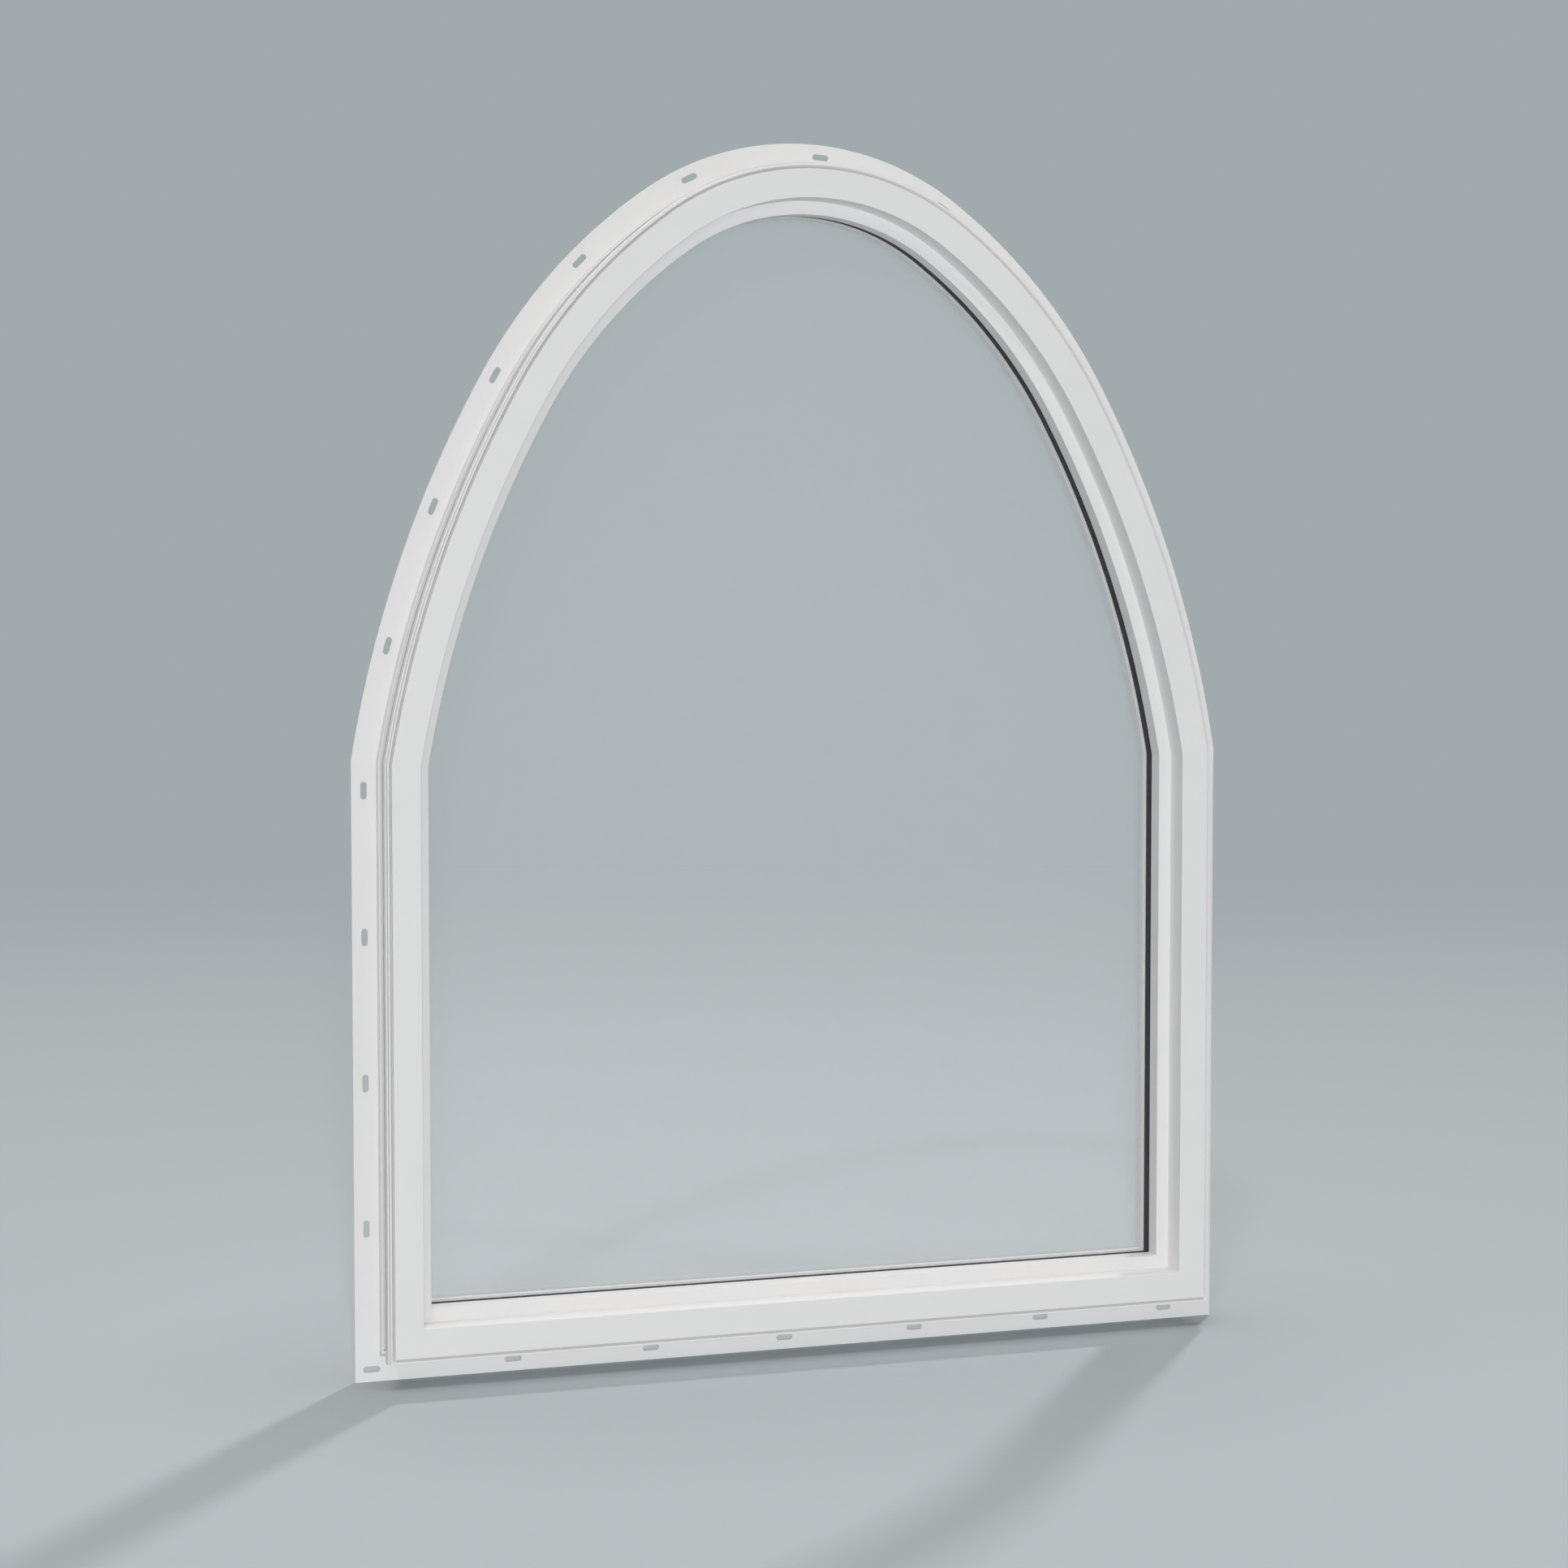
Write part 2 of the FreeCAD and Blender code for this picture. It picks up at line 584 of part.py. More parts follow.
def pane(name, front):
    """A sheet of glass with the window's own outline, set in from the fin edge."""
    body = new_body(name)
    sketch = new_sketch(body, "XZ_Plane", offset=(("z", f"-{front}"),))
    bottom = cell("glass_in")
    edge = {sign: side_x(sign, "glass_in") for _, sign in SIDES}
    radii = {arc: f"(sizes.{arc}_radius - sizes.glass_in)" for arc in ("crown", "haunch", "lower")}
    spring_reach = "(sizes.half_width - sizes.glass_in - sizes.lower_cx)"
    spring = f"sizes.lower_cz + sqrt({radii['lower']} ^ 2 - {spring_reach} ^ 2)"
    draw_line(sketch, (edge["-1"], bottom), (edge["1"], bottom))
    for _, sign in SIDES:
        draw_line(sketch, (edge[sign], bottom), (edge[sign], spring))
    breaks = {
        "crown": f"{radii['crown']} * sin(sizes.crown_angle)",
        "haunch": f"(sizes.haunch_cx + {radii['haunch']} * sin(sizes.haunch_angle))",
    }
    crown, haunch = size("crown_angle"), size("haunch_angle")
    upright = 90
    foot = size("spring_angle")
    rights = (("haunch", breaks["haunch"], haunch, breaks["crown"], crown),)
    rights += (("lower", "(sizes.half_width - sizes.glass_in)", foot, breaks["haunch"], haunch),)
    for arc, low, low_bearing, high, high_bearing in rights:
        right_ends = (("X", low, upright - low_bearing), ("X", high, upright - high_bearing))
        draw_arc(sketch, arc_centre(arc, "1"), radii[arc], *right_ends)
        left_ends = (("X", "-" + high, upright + high_bearing), ("X", "-" + low, upright + low_bearing))
        draw_arc(sketch, arc_centre(arc, "-1"), radii[arc], *left_ends)
    crown_ends = (("X", breaks["crown"], upright - crown), ("X", "-" + breaks["crown"], upright + crown))
    draw_arc(sketch, arc_centre("crown", "1"), radii["crown"], *crown_ends)
    feature = pad(body, sketch, cell("pane_thickness"))
    feature.Reversed = True


def setting_block(side, sign):
    """A block in the sill's pocket that carries the edge of the glass."""
    block = doc.addObject("Part::Box", side + "_setting_block")
    block.Label = side + "_setting_block"
    block.setExpression("Length", cell("block_length"))
    block.setExpression("Width", cell("unit_thickness"))
    block.setExpression("Height", cell("edge_clearance"))
    block.setExpression("Placement.Base.x", f"{sign} * sizes.block_place - sizes.block_length / 2")
    block.setExpression("Placement.Base.y", cell("glass_y"))
    block.setExpression("Placement.Base.z", cell("pocket_in"))


def write_parts():
    """Check every object and write each sub-part under its label."""
    doc.recompute()
    for item in doc.Objects:
        if "Invalid" in item.State or "Error" in item.State:
            raise RuntimeError(f"{item.Label} failed: {item.State}")
    subparts = [o for o in doc.Objects if o.TypeId in ("PartDesign::Body", "Part::Box")]
    for item in subparts:
        if item.Shape.isNull() or not item.Shape.isValid() or len(item.Shape.Solids) != 1:
            raise RuntimeError(f"{item.Label} is not one valid solid")
    os.makedirs("parts", exist_ok=True)
    for item in subparts:
        item.Shape.exportStep(f"parts/{item.Label}.step")
        print(f"{item.Label}: {item.Shape.Volume / 1000:.1f} cm3")


def main():
    fill_sheet()
    member_set(("sill", "left_jamb", "right_jamb", "arched_head"), FRAME_SECTION)
    nailing_fins()
    for kind, section in (("bead", BEAD_SECTION), ("tape", TAPE_SECTION), ("spacer", SPACER_SECTION)):
        member_set([f"{place}_{kind}" for place in ("sill", "left", "right", "arch")], section)
    pane("outer_pane", cell("glass_y"))
    pane("inner_pane", cell("spacer_back_y"))
    for side, sign in SIDES:
        setting_block(side, sign)
    write_parts()


main()
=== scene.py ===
"""The looks of an arched top picture window: vinyl frame, nailing fin and insulating glass.

X runs to the right seen from outside, Y into the wall and Z up. Sizes are in millimetres
and become metres when a mesh is made. Every member follows the outer edge of the fin, so a
place in a section is (how far inward from that edge, depth in the wall).
"""
import math
from collections import namedtuple

import bpy
import numpy as np
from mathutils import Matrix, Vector


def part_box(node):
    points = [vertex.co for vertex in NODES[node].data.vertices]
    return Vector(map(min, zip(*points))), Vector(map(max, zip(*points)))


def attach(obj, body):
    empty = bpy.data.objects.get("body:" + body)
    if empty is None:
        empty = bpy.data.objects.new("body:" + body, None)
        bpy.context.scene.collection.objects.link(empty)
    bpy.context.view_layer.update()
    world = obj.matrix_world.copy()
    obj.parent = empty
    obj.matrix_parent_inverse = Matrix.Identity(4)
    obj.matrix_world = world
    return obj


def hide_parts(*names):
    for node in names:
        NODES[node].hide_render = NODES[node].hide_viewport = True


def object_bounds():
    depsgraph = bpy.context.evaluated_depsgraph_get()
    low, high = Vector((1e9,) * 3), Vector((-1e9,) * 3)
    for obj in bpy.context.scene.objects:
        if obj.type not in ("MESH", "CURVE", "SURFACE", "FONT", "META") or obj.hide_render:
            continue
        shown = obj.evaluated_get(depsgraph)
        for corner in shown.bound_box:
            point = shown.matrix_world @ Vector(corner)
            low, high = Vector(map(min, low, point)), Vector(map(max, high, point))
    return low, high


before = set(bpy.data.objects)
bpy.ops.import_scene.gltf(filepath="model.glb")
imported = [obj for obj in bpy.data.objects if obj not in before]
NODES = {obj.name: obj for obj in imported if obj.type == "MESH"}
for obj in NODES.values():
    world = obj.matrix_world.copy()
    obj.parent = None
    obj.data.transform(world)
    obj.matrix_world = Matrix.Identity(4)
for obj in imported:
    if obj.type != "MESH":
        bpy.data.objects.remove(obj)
CAD_LOW, CAD_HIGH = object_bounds()
MM = 0.001

# The outline of the fin: two legs and a five-centred arch
HALF_WIDTH = CAD_HIGH.x / MM
LEG_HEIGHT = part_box("left_fin")[1].z / MM
ARCH_RISE = 637.5
CROWN_Z = LEG_HEIGHT + ARCH_RISE
SPRING_LEAN = math.radians(9.4)
CROWN_RADIUS = 301.0
CROWN_ANGLE = math.radians(35.3)
HAUNCH_ANGLE = math.radians(60.6)
SPRING_ANGLE = math.pi / 2 - SPRING_LEAN
MITRE_SLOPE = math.tan(SPRING_LEAN / 2)

# Places across the section, inward from the fin edge
EDGE_IN = 0.0
PLATE_IN = 25.4
FOOT_LIP_IN = 26.8
WALL_IN = 31.75
FIT_GAP = 0.2
SEAT_IN = WALL_IN - FIT_GAP
KERF_IN = 35.75
TONGUE_IN = KERF_IN - FIT_GAP
RIB_IN = 25.15
LIP_IN = 26.35
CREST_IN = 28.15
FACE_IN = 31.15
STOP_IN = 61.0
REVEAL_IN = 61.5
LEDGE_IN = 75.3
SIGHT_IN = 75.8
LIP_BACK_IN = 73.8
POCKET_IN = 58.0
SNAP_IN = 54.0
BEAD_IN = POCKET_IN + FIT_GAP
BEAD_LEG_IN = SNAP_IN + FIT_GAP
BEAD_FLAT_IN = 64.2
SPACER_START_IN = 61.5
SPACER_END_IN = 74.0
SPACER_SLOPE_HEIGHT = 1.0
SPACER_SLOPE_IN = SPACER_END_IN - SPACER_SLOPE_HEIGHT

# Sizes through the wall
RIB_SETBACK = 6.0
RIB_THICKNESS = 9.4
GROOVE_DEPTH = 5.9
LEDGE_SETBACK = 28.3
TAPE_THICKNESS = 1.6
BEAD_NOSE = 7.2
BEAD_LEG_SETBACK = 5.0
BEAD_LEG_THICKNESS = 2.6
SPACER_SLOPE_DEPTH = 1.6

# Places through the wall
FRONT_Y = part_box("sill")[0].y / MM
BACK_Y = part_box("sill")[1].y / MM
FIN_FRONT_Y = -2.0
FIN_BACK_Y = 0.0
FOOT_Y = -13.0
FOOT_FLOOR_Y = -4.0
TONGUE_FRONT_Y = -3.6
TONGUE_BACK_Y = -1.2
KERF_FRONT_Y = TONGUE_FRONT_Y - FIT_GAP
KERF_BACK_Y = TONGUE_BACK_Y + FIT_GAP
RIB_FRONT_Y = FRONT_Y + RIB_SETBACK
RIB_BACK_Y = RIB_FRONT_Y + RIB_THICKNESS
GROOVE_Y = FRONT_Y + GROOVE_DEPTH
LEDGE_Y = FRONT_Y + LEDGE_SETBACK
GLASS_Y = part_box("outer_pane")[0].y / MM
GLASS_BACK_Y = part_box("inner_pane")[1].y / MM
LIP_Y = GLASS_Y - FIT_GAP
TAPE_Y = GLASS_Y - TAPE_THICKNESS
SPACER_FRONT_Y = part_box("outer_pane")[1].y / MM
SPACER_BACK_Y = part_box("inner_pane")[0].y / MM
BEAD_Y = GLASS_BACK_Y + FIT_GAP
NOSE_Y = BEAD_Y + BEAD_NOSE
BEAD_LEG_Y = BEAD_Y + BEAD_LEG_SETBACK
BEAD_LEG_BACK_Y = BEAD_LEG_Y + BEAD_LEG_THICKNESS
SNAP_FRONT_Y = BEAD_LEG_Y - FIT_GAP
SNAP_BACK_Y = BEAD_LEG_BACK_Y + FIT_GAP

# Radii that the extrusion die leaves on its edges
FLAT = 0.0
FAINT = 0.1
CRISP = 0.25
SOFT = 0.5
FACE_EDGE = 0.8

# Nailing slots, at an even pitch round the whole fin
SLOT_COUNT = 26
SLOT_LENGTH = 18.0
SLOT_WIDTH = 6.4
SLOT_LINE = 12.7
SLOT_START = 4.3

# The cell of the fin's flat that each slot is cut from
CELL_LENGTH = 26.0
CELL_MARGIN = 0.65
CELL_HALF_WIDTH = 7.0
CELL_LOW_IN = SLOT_LINE - CELL_HALF_WIDTH
CELL_HIGH_IN = SLOT_LINE + CELL_HALF_WIDTH

# Fineness of the meshes, and the two end stations of a straight member
ARC_STEP = math.radians(1.25)
ROUND_STEPS = 3
SLOT_STEPS = 16
STRAIGHT = np.array([-1.0, 1.0])

# Sections as (inward, depth, edge radius), where FLAT marks a point on a flat
FRAME_SECTION = (
    (WALL_IN, BACK_Y, SOFT),
    (WALL_IN, KERF_BACK_Y, CRISP),
    (KERF_IN, KERF_BACK_Y, CRISP),
    (KERF_IN, KERF_FRONT_Y, CRISP),
    (WALL_IN, KERF_FRONT_Y, CRISP),
    (WALL_IN, RIB_BACK_Y, SOFT),
    (RIB_IN, RIB_BACK_Y, SOFT),
    (RIB_IN, RIB_FRONT_Y, SOFT),
    (LIP_IN, RIB_FRONT_Y, CRISP),
    (LIP_IN, FRONT_Y, SOFT),
    (CREST_IN, FRONT_Y, CRISP),
    (FACE_IN, GROOVE_Y, CRISP),
    (FACE_IN, FRONT_Y, SOFT),
    (STOP_IN, FRONT_Y, FACE_EDGE),
    (REVEAL_IN, LEDGE_Y, SOFT),
    (LEDGE_IN, LEDGE_Y, FACE_EDGE),
    (SIGHT_IN, LIP_Y, CRISP),
    (LIP_BACK_IN, LIP_Y, CRISP),
    (LIP_BACK_IN, TAPE_Y, CRISP),
    (POCKET_IN, TAPE_Y, SOFT),
    (POCKET_IN, SNAP_FRONT_Y, CRISP),
    (SNAP_IN, SNAP_FRONT_Y, CRISP),
    (SNAP_IN, SNAP_BACK_Y, CRISP),
    (POCKET_IN, SNAP_BACK_Y, CRISP),
    (POCKET_IN, BACK_Y, SOFT),
)
BEAD_SECTION = (
    (BEAD_IN, BEAD_Y, CRISP),
    (SIGHT_IN, BEAD_Y, CRISP),
    (SIGHT_IN, NOSE_Y, FACE_EDGE),
    (BEAD_FLAT_IN, BACK_Y, FACE_EDGE),
    (BEAD_IN, BACK_Y, SOFT),
    (BEAD_IN, BEAD_LEG_BACK_Y, CRISP),
    (BEAD_LEG_IN, BEAD_LEG_BACK_Y, SOFT),
    (BEAD_LEG_IN, BEAD_LEG_Y, SOFT),
    (BEAD_IN, BEAD_LEG_Y, CRISP),
)
SPACER_SECTION = (
    (SPACER_START_IN, SPACER_FRONT_Y, CRISP),
    (SPACER_SLOPE_IN, SPACER_FRONT_Y, SOFT),
    (SPACER_END_IN, SPACER_FRONT_Y + SPACER_SLOPE_DEPTH, FACE_EDGE),
    (SPACER_END_IN, SPACER_BACK_Y - SPACER_SLOPE_DEPTH, FACE_EDGE),
    (SPACER_SLOPE_IN, SPACER_BACK_Y, SOFT),
    (SPACER_START_IN, SPACER_BACK_Y, CRISP),
)
FIN_SECTION = (
    (EDGE_IN, FIN_BACK_Y, CRISP),
    (EDGE_IN, FIN_FRONT_Y, CRISP),
    (CELL_LOW_IN, FIN_FRONT_Y, FLAT),
    (CELL_HIGH_IN, FIN_FRONT_Y, FLAT),
    (PLATE_IN, FIN_FRONT_Y, CRISP),
    (PLATE_IN, FOOT_Y, SOFT),
    (FOOT_LIP_IN, FOOT_Y, SOFT),
    (FOOT_LIP_IN, FOOT_FLOOR_Y, CRISP),
    (SEAT_IN, FOOT_FLOOR_Y, FAINT),
    (SEAT_IN, TONGUE_FRONT_Y, FAINT),
    (TONGUE_IN, TONGUE_FRONT_Y, CRISP),
    (TONGUE_IN, TONGUE_BACK_Y, CRISP),
    (SEAT_IN, TONGUE_BACK_Y, CRISP),
    (SEAT_IN, FIN_BACK_Y, CRISP),
    (CELL_HIGH_IN, FIN_BACK_Y, FLAT),
    (CELL_LOW_IN, FIN_BACK_Y, FLAT),
)


# The arch and the paths of the members


def five_centred_arch():
    """Radii and centres (across, up) of the crown, haunch and lower arcs on the right.

    The arcs meet in line. The runs across add up to half the width and the falls to the
    rise, which are two linear equations for the haunch and lower radii. Each centre lies
    on the line from the one before it through the point where the two arcs meet.
    """
    angles = (CROWN_ANGLE, HAUNCH_ANGLE, SPRING_ANGLE)
    sines, cosines = np.sin(angles), np.cos(angles)
    runs = np.array([np.diff(sines), -np.diff(cosines)])
    left_over = (HALF_WIDTH - CROWN_RADIUS * sines[0], ARCH_RISE - CROWN_RADIUS * (1 - cosines[0]))
    haunch_radius, lower_radius = np.linalg.solve(runs, left_over)
    radii = np.array([CROWN_RADIUS, haunch_radius, lower_radius])
    growth = np.diff(radii)
    across = np.cumsum([0, *(-growth * sines[:2])])
    up = np.cumsum([CROWN_Z - CROWN_RADIUS, *(-growth * cosines[:2])])
    return radii, across, up


ARC_RADII, ARC_ACROSS, ARC_UP = five_centred_arch()
CROWN_ARC, HAUNCH_ARC, LOWER_ARC = range(3)


def arch_place(inward, bearing):
    """Point and inward direction on the arch: centre + (radius - inward) (sin b, cos b).

    The arc is chosen by the size of the bearing b, and left is the mirror of right.
    """
    inward, bearing = np.broadcast_arrays(inward, bearing)
    arc = np.digitize(np.abs(bearing), (CROWN_ANGLE, HAUNCH_ANGLE))
    reach = ARC_RADII[arc] - inward
    x = np.sign(bearing) * ARC_ACROSS[arc] + reach * np.sin(bearing)
    z = ARC_UP[arc] + reach * np.cos(bearing)
    return x, z, -np.sin(bearing), -np.cos(bearing)


def spring_bearing(inward):
    """Bearing where an inset of the lower arc meets the mitre plane z = leg - slope (half - x).

    With r = radius - inward that is r cos b - slope r sin b = k, so
    b = arccos(k / (r sqrt(1 + slope^2))) - arctan(slope).
    """
    reach = ARC_RADII[LOWER_ARC] - inward
    k = LEG_HEIGHT - ARC_UP[LOWER_ARC] - MITRE_SLOPE * (HALF_WIDTH - ARC_ACROSS[LOWER_ARC])
    return np.arccos(k / (reach * math.hypot(1, MITRE_SLOPE))) - math.atan(MITRE_SLOPE)


def sill_path(inward, stations):
    """Along the bottom: x from mitre to mitre at height = inward."""
    x = (HALF_WIDTH - inward)[:, None] * stations[None, :]
    z = np.broadcast_to(inward[:, None], x.shape)
    return x, z, np.zeros_like(x), np.ones_like(x)


def leg_path(side):
    """Up one leg: from the 45 degree mitre at z = inward to the mitre at the spring."""

    def place(inward, stations):
        """Heights from low to high as the station runs from -1 to 1."""
        low = inward[:, None]
        high = (LEG_HEIGHT - MITRE_SLOPE * inward)[:, None]
        z = low + (high - low) * (stations[None, :] + 1) / 2
        x = np.broadcast_to(side * (HALF_WIDTH - inward)[:, None], z.shape)
        return x, z, np.full_like(z, -side), np.zeros_like(z)

    return place


def arch_path(inward, bearings):
    """Round the arch: the two end stations are moved onto the mitre planes."""
    grid = np.repeat(bearings[None, :], len(inward), axis=0)
    ends = spring_bearing(inward)
    grid[:, 0] = -ends
    grid[:, -1] = ends
    return arch_place(inward[:, None], grid)


def arc_stations():
    """Bearings at an even step within each arc, with the joins between arcs among them."""
    end = float(spring_bearing(EDGE_IN)) + ARC_STEP / 2
    stops = (-end, -HAUNCH_ANGLE, -CROWN_ANGLE, CROWN_ANGLE, HAUNCH_ANGLE, end)
    runs = []
    for low, high in zip(stops[:-1], stops[1:]):
        steps = math.ceil((high - low) / ARC_STEP)
        runs.append(np.linspace(low, high, steps, endpoint=False))
    return np.concatenate(runs + [[end]])


# Sweeps and meshes

Sweep = namedtuple("Sweep", "outline points normals along")


def unit(vector):
    """The vector at length 1."""
    return vector / np.linalg.norm(vector)


def round_off(section):
    """Points and outward normals of a closed section whose corners are arcs.

    A corner has unit directions a and b to its neighbours, and the normal turns by t round it.
    Its arc of radius r has the centre corner + (a + b) / |a + b| * r / cos(t / 2), so it meets
    both sides in line.
    """
    corners = np.array([(inward, depth) for inward, depth, _ in section])
    following = np.roll(corners, -1, axis=0)
    area = np.sum(corners[:, 0] * following[:, 1] - following[:, 0] * corners[:, 1])
    turn = math.copysign(1, area)
    steps = np.linspace(0, 1, ROUND_STEPS + 1)[:, None]
    points, normals = [], []
    for index, (_, _, radius) in enumerate(section):
        corner = corners[index]
        back, ahead = unit(corners[index - 1] - corner), unit(following[index] - corner)
        before = turn * np.array([-back[1], back[0]])
        after = turn * np.array([ahead[1], -ahead[0]])
        if radius == FLAT:
            points.append(corner[None, :])
            normals.append(before[None, :])
            continue
        bend = math.acos(np.clip(before @ after, -1, 1))
        fan = np.sin((1 - steps) * bend) * before + np.sin(steps * bend) * after
        fan = fan / math.sin(bend)
        outer = turn * (ahead[0] * back[1] - ahead[1] * back[0]) > 0
        centre = corner + unit(back + ahead) * radius / math.cos(bend / 2)
        points.append(centre + (fan if outer else -fan) * radius)
        normals.append(fan)
    return np.concatenate(points), np.concatenate(normals)


def flat_rows(section):
    """Where the points on flats come among the points that round_off makes."""
    counts = np.array([1 if radius == FLAT else ROUND_STEPS + 1 for _, _, radius in section])
    return (np.cumsum(counts) - counts)[counts == 1]


def sweep_section(section, path, stations):
    """Carry a rounded section along a path: point (i, j) is path(inward i, station j).

    Points, normals and the lengths along the path are grids of (place in section, station).
    """
    outline, facing = round_off(section)
    x, z, in_x, in_z = path(outline[:, 0], stations)
    depth = np.broadcast_to(outline[:, 1:], x.shape)
    points = np.stack([x, depth, z], axis=-1)
    across, through = facing[:, :1], np.broadcast_to(facing[:, 1:], x.shape)
    normals = np.stack([across * in_x, through, across * in_z], axis=-1)
    steps = np.linalg.norm(np.diff(points, axis=1), axis=-1)
    along = np.concatenate([np.zeros((len(steps), 1)), np.cumsum(steps, axis=1)], axis=1)
    return Sweep(outline, points, normals, along)


def grid_corners(rows, columns):
    """Row and column of each quad's corners, in a grid whose last row joins its first."""
    row, column = np.meshgrid(np.arange(rows), np.arange(columns - 1), indexing="ij")
    row, column = row.ravel(), column.ravel()
    corner_rows = np.stack([row, row, row + 1, row + 1], axis=1)
    corner_columns = np.stack([column, column + 1, column + 1, column], axis=1)
    return corner_rows, corner_columns


def sweep_quads(sweep, row, column):
    """Quads of a sweep at these corners, with their normals and (length, girth) UVs."""
    rows, columns = sweep.points.shape[:2]
    wrapped = row % rows
    gaps = np.linalg.norm(np.roll(sweep.outline, -1, axis=0) - sweep.outline, axis=1)
    girth = np.concatenate([[0], np.cumsum(gaps)])
    faces = wrapped * columns + column
    uvs = np.stack([sweep.along[wrapped, column], girth[row]], axis=-1)
    return faces, sweep.normals[wrapped, column], uvs


def end_caps(rows, columns):
    """The first and last outline of a sweep as two faces that look away from each other."""
    first = np.arange(rows) * columns
    return [first.tolist(), (first + columns - 1)[::-1].tolist()]


def put_in_scene(name, data):
    """A new object for a mesh, a lamp or a camera."""
    thing = bpy.data.objects.new(name, data)
    bpy.context.scene.collection.objects.link(thing)
    return thing


def build_piece(name, points, faces, normals, uvs, caps):
    """Make a piece from points in millimetres, quads with normals and UVs, and flat end caps.

    Faces whose winding disagrees with their own normals are turned round, and the caps turn
    with the first face, because they are listed to suit it. A quad that names a point twice
    becomes a triangle.
    """
    corners = points[faces]
    winding = np.cross(corners[:, 2] - corners[:, 0], corners[:, 3] - corners[:, 1])
    wrong = np.einsum("fi,fi->f", winding, normals.mean(axis=1)) < 0
    for block in (faces, normals, uvs):
        block[wrong] = block[wrong][:, ::-1]
    if wrong[0]:
        caps = [cap[::-1] for cap in caps]
    polygons = [list(dict.fromkeys(face)) for face in faces.tolist()]
    mesh = bpy.data.meshes.new(name)
    mesh.from_pydata((points * MM).tolist(), [], polygons + caps)
    mesh.polygons.foreach_set("use_smooth", np.arange(len(mesh.polygons)) < len(polygons))

    first_named = np.ones_like(faces, dtype=bool)
    for corner in range(1, 4):
        first_named[:, corner] = np.all(faces[:, :corner] != faces[:, corner:corner + 1], axis=1)
    cap_corners = sum(len(cap) for cap in caps)
    corner_uvs = np.concatenate([uvs[first_named] * MM, np.zeros((cap_corners, 2))])
    mesh.uv_layers.new(name="length_girth").data.foreach_set("uv", corner_uvs.ravel())
    corner_normals = np.concatenate([normals[first_named], np.zeros((cap_corners, 3))])
    mesh.normals_split_custom_set(corner_normals.tolist())
    return put_in_scene(name, mesh)


def swept_member(name, section, path, stations):
    """A closed member: its section swept along its path, with both ends capped."""
    sweep = sweep_section(section, path, stations)
    rows, columns = sweep.points.shape[:2]
    quads = sweep_quads(sweep, *grid_corners(rows, columns))
    return build_piece(name, sweep.points.reshape(-1, 3), *quads, end_caps(rows, columns))


# The slotted fin on the arch


def arch_slots():
    """Where the slots lie on the arch, and a function from that distance to a bearing.

    Distances run round the slots' line from its bottom left corner, along the sill, up the
    right leg and over the arch to the left. On each arc the bearing falls evenly with distance.
    """
    slot_x = HALF_WIDTH - SLOT_LINE
    reach = ARC_RADII - SLOT_LINE
    across = slot_x - ARC_ACROSS[LOWER_ARC]
    rise = math.sqrt(reach[LOWER_ARC] ** 2 - across ** 2)
    spring = math.atan2(across, rise)
    stops = np.array([spring, HAUNCH_ANGLE, CROWN_ANGLE, -CROWN_ANGLE, -HAUNCH_ANGLE, -spring])
    arcs = [LOWER_ARC, HAUNCH_ARC, CROWN_ARC, HAUNCH_ARC, LOWER_ARC]
    runs = np.abs(np.diff(stops)) * reach[arcs]
    leg = ARC_UP[LOWER_ARC] + rise - SLOT_LINE
    start = 2 * slot_x + leg
    ends = start + np.concatenate([[0], np.cumsum(runs)])
    pitch = (ends[-1] + leg) / SLOT_COUNT
    places = SLOT_START + pitch * np.arange(SLOT_COUNT)
    on_arch = (places > start) & (places < ends[-1])

    def bearing_at(distance):
        """Bearing at a distance round the slots' line."""
        return np.interp(distance, ends, stops)

    return places[on_arch], bearing_at


def fin_stations(slots, bearing_at):
    """Bearings along the fin, and the number of the first one in each slot's cell.

    Each cell has SLOT_STEPS even steps of its own. Between cells are the arch's even steps,
    without those that come nearer to a cell than its margin.
    """
    half_cell = CELL_LENGTH / 2
    spread = np.linspace(-half_cell, half_cell, SLOT_STEPS + 1)
    cells = bearing_at(slots[:, None] - spread)
    starts = bearing_at(slots + half_cell + CELL_MARGIN)
    ends = bearing_at(slots - half_cell - CELL_MARGIN)
    even = arc_stations()
    outside = np.all((even[:, None] < starts) | (even[:, None] > ends), axis=1)
    stations = np.sort(np.concatenate([even[outside], cells.ravel()]))
    return stations, np.searchsorted(stations, cells[:, 0])


def slot_rims(slots, bearing_at):
    """Rims of the slots in the fin's front and back, and normals that look into the slots.

    For the angle a round a slot with its centre at c, the rim lies at the distance
    c - h sign(cos a) - w cos a, and inward at line + w sin a, where w is half the width and
    h half the straight side.
    """
    around = math.pi * (1 + np.arange(2 * SLOT_STEPS) / SLOT_STEPS)
    cosine, sine = np.cos(around), np.sin(around)
    half_width, half_side = SLOT_WIDTH / 2, (SLOT_LENGTH - SLOT_WIDTH) / 2
    end = np.where(np.isclose(cosine, 0), 0, np.sign(cosine))
    bearing = bearing_at(slots[:, None] - half_side * end - half_width * cosine)
    x, z, in_x, in_z = arch_place(SLOT_LINE + half_width * sine, bearing)
    rims = [np.stack([x, np.full_like(x, y), z], axis=-1) for y in (FIN_FRONT_Y, FIN_BACK_Y)]
    into = [cosine * in_z - sine * in_x, np.zeros_like(x), -cosine * in_x - sine * in_z]
    return np.stack(rims), np.stack(into, axis=-1)


